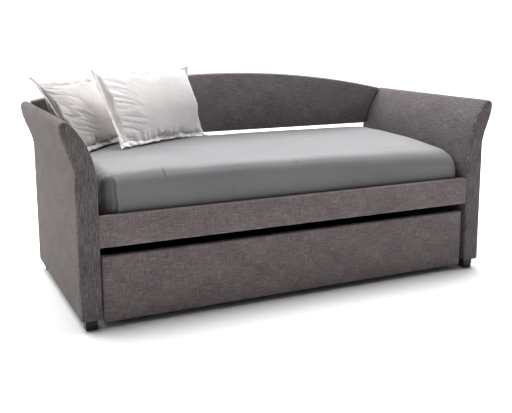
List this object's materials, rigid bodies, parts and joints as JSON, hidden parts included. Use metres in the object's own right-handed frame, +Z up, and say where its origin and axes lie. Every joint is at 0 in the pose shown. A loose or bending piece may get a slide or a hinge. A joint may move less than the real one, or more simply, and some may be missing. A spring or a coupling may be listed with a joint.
{
  "type": "trundle bed",
  "caption": "Upholstered daybed with flared arms, an arched back panel, a fitted mattress and pillows, and an upholstered trundle that rolls out from under the front rail.",
  "frame": {"origin": "on the floor, below the middle of the bed's overall box", "axes": "+X along the length, to the right as seen from the front; +Y from the front to the back; +Z up"},
  "size_m": [2.312, 1.058, 1.0967],
  "materials": {
    "linen": "slubby grey-brown linen weave",
    "linen_facing": "slubby grey-brown linen weave",
    "cambric": "thin black dust cloth",
    "frame_wood": "planed softwood",
    "dark_wood": "dark cherry stain, satin",
    "black_wood": "black stain, satin",
    "steel": "zinc plated",
    "glide": "matte",
    "tyre": "matte",
    "hub": "matte",
    "sheet_grey": "satin fitted sheet",
    "pillow_white": "soft cotton"
  },
  "bodies": {
    "bed": {"left_arm_ribs": "frame_wood", "right_arm_ribs": "frame_wood", "left_arm_rails": "frame_wood", "right_arm_rails": "frame_wood", "back_panel_frame": "frame_wood", "back_panel_board": "frame_wood", "front_rail_board": "frame_wood", "front_ledger": "frame_wood", "rear_rail": "frame_wood", "rear_ledger": "frame_wood", "slats": "frame_wood", "left_arm_cover": "linen", "right_arm_cover": "linen", "back_panel_cover": "linen", "back_panel_rear_cover": "linen", "front_rail_cover": "linen", "left_arm_front_panel": "linen_facing", "right_arm_front_panel": "linen_facing", "left_arm_rear_panel": "linen_facing", "right_arm_rear_panel": "linen_facing", "left_arm_dust_cover": "cambric", "right_arm_dust_cover": "cambric", "foot_front_left": "black_wood", "foot_front_right": "black_wood", "foot_rear_left": "black_wood", "foot_rear_right": "black_wood", "foot_glides": "glide", "foot_bolts": "steel", "back_panel_bolts": "steel", "rail_brackets": "steel", "rail_bolts": "steel", "slat_screws": "steel", "rear_board_screws": "steel", "rear_board": "dark_wood"},
    "trundle": {"trundle_front_cover": "linen", "trundle_front_board": "dark_wood", "trundle_side_left": "dark_wood", "trundle_side_right": "dark_wood", "trundle_back": "dark_wood", "corner_blocks": "dark_wood", "trundle_ledgers": "dark_wood", "trundle_centre_rail": "dark_wood", "trundle_slats": "dark_wood", "trundle_slat_screws": "steel", "trundle_screws": "steel", "trundle_dust_panel": "dark_wood", "caster_brackets": "steel", "caster_axles": "steel", "caster_screws": "steel"},
    "mattress": {"mattress": "sheet_grey"},
    "rear_pillow": {"pillow_rear": "pillow_white"},
    "front_pillow": {"pillow_front": "pillow_white"},
    "wheel_front_left": {"tyre_front_left": "tyre", "hub_front_left": "hub"},
    "wheel_front_right": {"tyre_front_right": "tyre", "hub_front_right": "hub"},
    "wheel_rear_left": {"tyre_rear_left": "tyre", "hub_rear_left": "hub"},
    "wheel_rear_right": {"tyre_rear_right": "tyre", "hub_rear_right": "hub"}
  },
  "joints": [
    {"name": "trundle_slide", "type": "slide", "parent": "bed", "child": "trundle", "axis": [0, -1, 0], "range_m": [0, 1.05]},
    {"name": "wheel_spin_front_left", "type": "hinge", "parent": "trundle", "child": "wheel_front_left", "pos_m": [-0.918, -0.431, 0.025], "axis": [1, 0, 0], "continuous": true},
    {"name": "wheel_spin_front_right", "type": "hinge", "parent": "trundle", "child": "wheel_front_right", "pos_m": [0.918, -0.431, 0.025], "axis": [1, 0, 0], "continuous": true},
    {"name": "wheel_spin_rear_left", "type": "hinge", "parent": "trundle", "child": "wheel_rear_left", "pos_m": [-0.918, 0.412, 0.025], "axis": [1, 0, 0], "continuous": true},
    {"name": "wheel_spin_rear_right", "type": "hinge", "parent": "trundle", "child": "wheel_rear_right", "pos_m": [0.918, 0.412, 0.025], "axis": [1, 0, 0], "continuous": true},
    {"name": "mattress_lift", "type": "slide", "parent": "bed", "child": "mattress", "axis": [0, 0, 1], "range_m": [0, 0.6]},
    {"name": "rear_pillow_lift", "type": "slide", "parent": "mattress", "child": "rear_pillow", "axis": [0, 0, 1], "range_m": [0, 0.4]},
    {"name": "front_pillow_lift", "type": "slide", "parent": "rear_pillow", "child": "front_pillow", "axis": [0, 0, 1], "range_m": [0, 0.4]}
  ],
  "couplings": [
    {"joint": "wheel_spin_front_left", "follows": "trundle_slide", "rad_per_m": 40},
    {"joint": "wheel_spin_front_right", "follows": "trundle_slide", "rad_per_m": 40},
    {"joint": "wheel_spin_rear_left", "follows": "trundle_slide", "rad_per_m": 40},
    {"joint": "wheel_spin_rear_right", "follows": "trundle_slide", "rad_per_m": 40}
  ]
}
